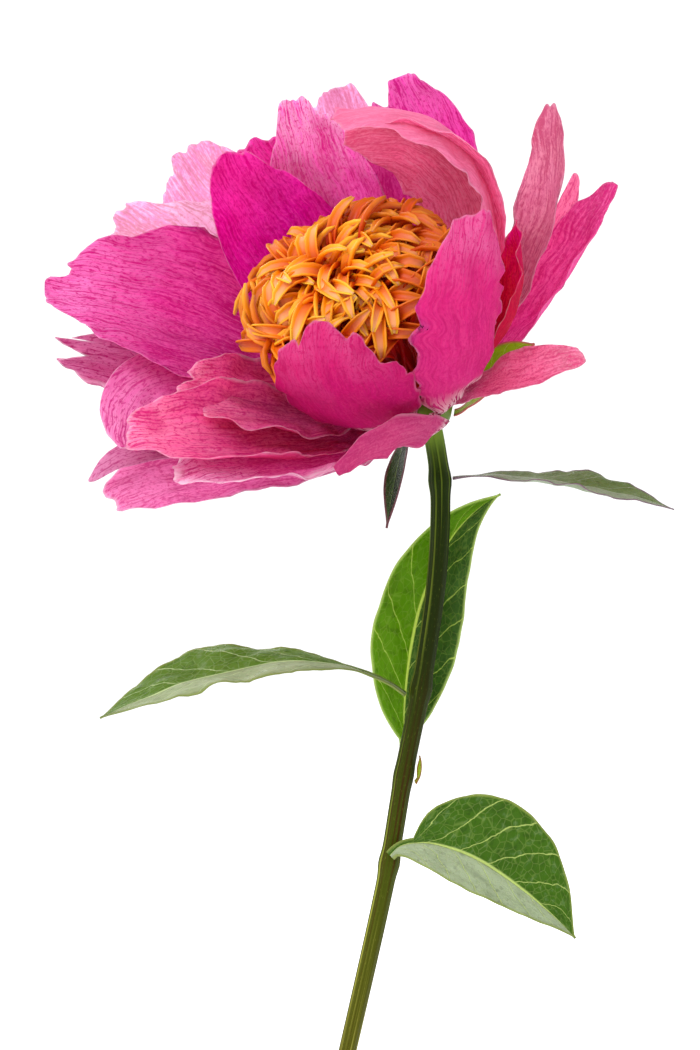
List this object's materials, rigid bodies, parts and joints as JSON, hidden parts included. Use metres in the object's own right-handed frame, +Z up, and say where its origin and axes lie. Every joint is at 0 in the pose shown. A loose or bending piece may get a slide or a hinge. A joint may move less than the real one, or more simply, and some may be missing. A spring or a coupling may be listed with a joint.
{
  "type": "peony in a bud vase",
  "caption": "Cut single peony with a ruffled pink cup of petals round a golden boss, on a curved leafy stem standing in water in a plain bottle-shaped bud vase.",
  "frame": {"origin": "middle of the vase's flat base, on the surface it stands on", "axes": "+Z up, +X to the right and +Y away as seen from the side that the bloom leans towards"},
  "size_m": [0.1562, 0.1068, 0.3836],
  "materials": {
    "vase_glaze": "smooth off-white glaze",
    "water": "clear water",
    "stem_green": "ridged, waxy, olive-brown lower down",
    "leaf_dark": "veined, satin, greyer underneath",
    "leaf_backlit": "veined, lit through",
    "leaf_grey": "grey-green with purple edges",
    "sepal_lime": "satin, pink towards the edge",
    "staminode_gold": "golden edges, peach middle, orange-red feet",
    "petal_pale": "thin, lit through, whitish edge",
    "petal_pink": "finely streaked, whitish edge",
    "petal_magenta": "deep and saturated, darker foot",
    "petal_coral": "matt underside, crimped and veined"
  },
  "bodies": {
    "root": {"vase": "vase_glaze", "water": "water", "stem": "stem_green", "staminodes": "staminode_gold", "petal_left": "petal_pink", "petal_left_split": "petal_magenta", "petal_left_arching": "petal_magenta", "petal_low_finger": "petal_pale", "petal_low_outer": "petal_pink", "petal_low_ruffled": "petal_pink", "petal_front": "petal_pink", "petal_front_right": "petal_pink", "petal_right_inner": "petal_magenta", "petal_back_right": "petal_pink", "petal_back_lobed": "petal_magenta", "petal_back": "petal_pale", "petal_back_left_inner": "petal_magenta", "petal_back_left_middle": "petal_pink", "petal_back_left_outer": "petal_pale", "petal_left_outer": "petal_pale", "petal_right_tall": "petal_pink", "petal_right_low": "petal_pink", "petal_right_sliver": "petal_coral", "petal_right_drooping": "petal_coral", "petal_front_drooping": "petal_coral", "petal_folded_over": "petal_coral", "petal_low_folded": "petal_coral", "leaf_left": "leaf_dark", "leaf_back": "leaf_backlit", "leaf_right": "leaf_grey", "leaf_low": "leaf_dark", "sprout": "sepal_lime", "bract": "leaf_dark", "sepal_right": "sepal_lime", "sepal_back": "sepal_lime", "sepal_left": "sepal_lime"}
  },
  "joints": []
}
